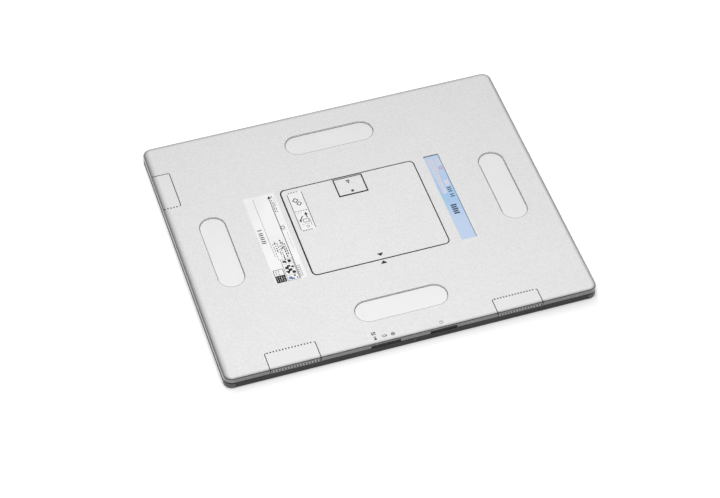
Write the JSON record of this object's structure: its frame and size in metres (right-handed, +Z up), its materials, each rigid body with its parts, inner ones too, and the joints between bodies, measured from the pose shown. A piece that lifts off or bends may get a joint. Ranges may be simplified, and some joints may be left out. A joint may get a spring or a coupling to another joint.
{
  "type": "flat panel x-ray detector",
  "caption": "Thin rectangular cordless x-ray detector panel, back up: painted shell with finger grips, radio windows, lift-out battery with sliding latch, and a power button.",
  "frame": {"origin": "middle of the panel's underside, which is the x-ray side", "axes": "+X along the long edge, +Y towards the far long edge, away from the edge with the button, +Z up, out of the battery side"},
  "size_m": [0.46, 0.384, 0.016],
  "materials": {
    "cover_paint": "satin silver-white paint with a fine grain",
    "grip_plastic": "smooth white moulded plastic",
    "window_plastic": "fine-textured pale plastic",
    "frame_paint": "dark gray satin paint",
    "guard_plastic": "gray moulded plastic",
    "seal_rubber": "black rubber",
    "front_carbon": "dark satin carbon fibre laminate",
    "foam": "dark closed-cell foam",
    "scintillator_layer": "white crystal layer",
    "glass_plate": "polished glass with a fine metal grid",
    "shield_metal": "rolled dark sheet",
    "plate_metal": "machined satin metal",
    "board_laminate": "green circuit laminate",
    "chip_plastic": "black moulded package",
    "flex_film": "amber film",
    "can_metal": "tinned sheet",
    "contact_gold": "gold-plated, polished",
    "fastener_steel": "plated steel",
    "spring_steel": "rolled spring strip",
    "lead_jacket": "black jacket",
    "bay_plastic": "dark moulded plastic",
    "connector_plastic": "black moulded plastic",
    "battery_plastic": "pale moulded plastic",
    "lid_paint": "satin silver-white coating with a fine grain",
    "cell_pouch": "bright pouch foil",
    "latch_plastic": "fine-textured pale plastic",
    "window_dark": "smoked translucent plastic",
    "button_plastic": "dark moulded plastic",
    "guide_clear": "clear moulded plastic",
    "led_body": "pale moulded package",
    "sleeve_rubber": "gray silicone rubber",
    "label_white": "satin printed film",
    "label_blue": "satin printed film",
    "label_battery": "satin printed film"
  },
  "bodies": {
    "case": {"antenna_leads": "lead_jacket", "antennas": "contact_gold", "battery_bay": "bay_plastic", "battery_flex": "flex_film", "bay_connector": "connector_plastic", "bay_screws": "fastener_steel", "blue_label": "label_blue", "board_chips": "chip_plastic", "board_flexes": "flex_film", "board_screws": "fastener_steel", "button_switch": "connector_plastic", "catch_spring": "spring_steel", "contact_pins": "contact_gold", "corner_guard_far_left": "guard_plastic", "corner_guard_far_right": "guard_plastic", "corner_guard_near_left": "guard_plastic", "corner_guard_near_right": "guard_plastic", "cover_posts": "plate_metal", "cover_screws": "fastener_steel", "frame_screws": "fastener_steel", "front_frame": "frame_paint", "front_plate": "front_carbon", "gate_board": "board_laminate", "gate_films": "flex_film", "grip_pad_far": "grip_plastic", "grip_pad_left": "grip_plastic", "grip_pad_near": "grip_plastic", "grip_pad_right": "grip_plastic", "indicator_board": "board_laminate", "light_guide": "guide_clear", "main_board": "board_laminate", "power_board": "board_laminate", "radio_window_left": "window_plastic", "radio_window_near_left": "window_plastic", "radio_window_near_right": "window_plastic", "readout_board": "board_laminate", "readout_films": "flex_film", "rear_cover": "cover_paint", "return_sleeve": "sleeve_rubber", "scintillator": "scintillator_layer", "seal_gasket": "seal_rubber", "sensor_glass": "glass_plate", "shield_sheet": "shield_metal", "shock_foam": "foam", "status_leds": "led_body", "status_window": "window_dark", "support_plate": "plate_metal", "white_label": "label_white", "wireless_module": "can_metal"},
    "battery": {"battery_case": "battery_plastic", "battery_lid": "lid_paint", "battery_cells": "cell_pouch", "battery_board": "board_laminate", "battery_contacts": "contact_gold", "battery_label": "label_battery", "latch_spring": "spring_steel"},
    "latch": {"latch_slider": "latch_plastic", "latch_bolt": "fastener_steel"},
    "power_button": {"power_button": "button_plastic"}
  },
  "joints": [
    {"name": "battery_lift", "type": "slide", "parent": "case", "child": "battery", "axis": [0, 0, 1], "range_m": [0, 0.03], "deforming": ["catch_spring"]},
    {"name": "latch_slide", "type": "slide", "parent": "battery", "child": "latch", "axis": [0, -1, 0], "range_m": [0, 0.0016], "stiffness_N_per_m": 1200, "deforming": ["latch_spring"]},
    {"name": "button_push", "type": "slide", "parent": "case", "child": "power_button", "axis": [0, 1, 0], "range_m": [0, 0.0008], "stiffness_N_per_m": 1500, "deforming": ["return_sleeve"]}
  ]
}
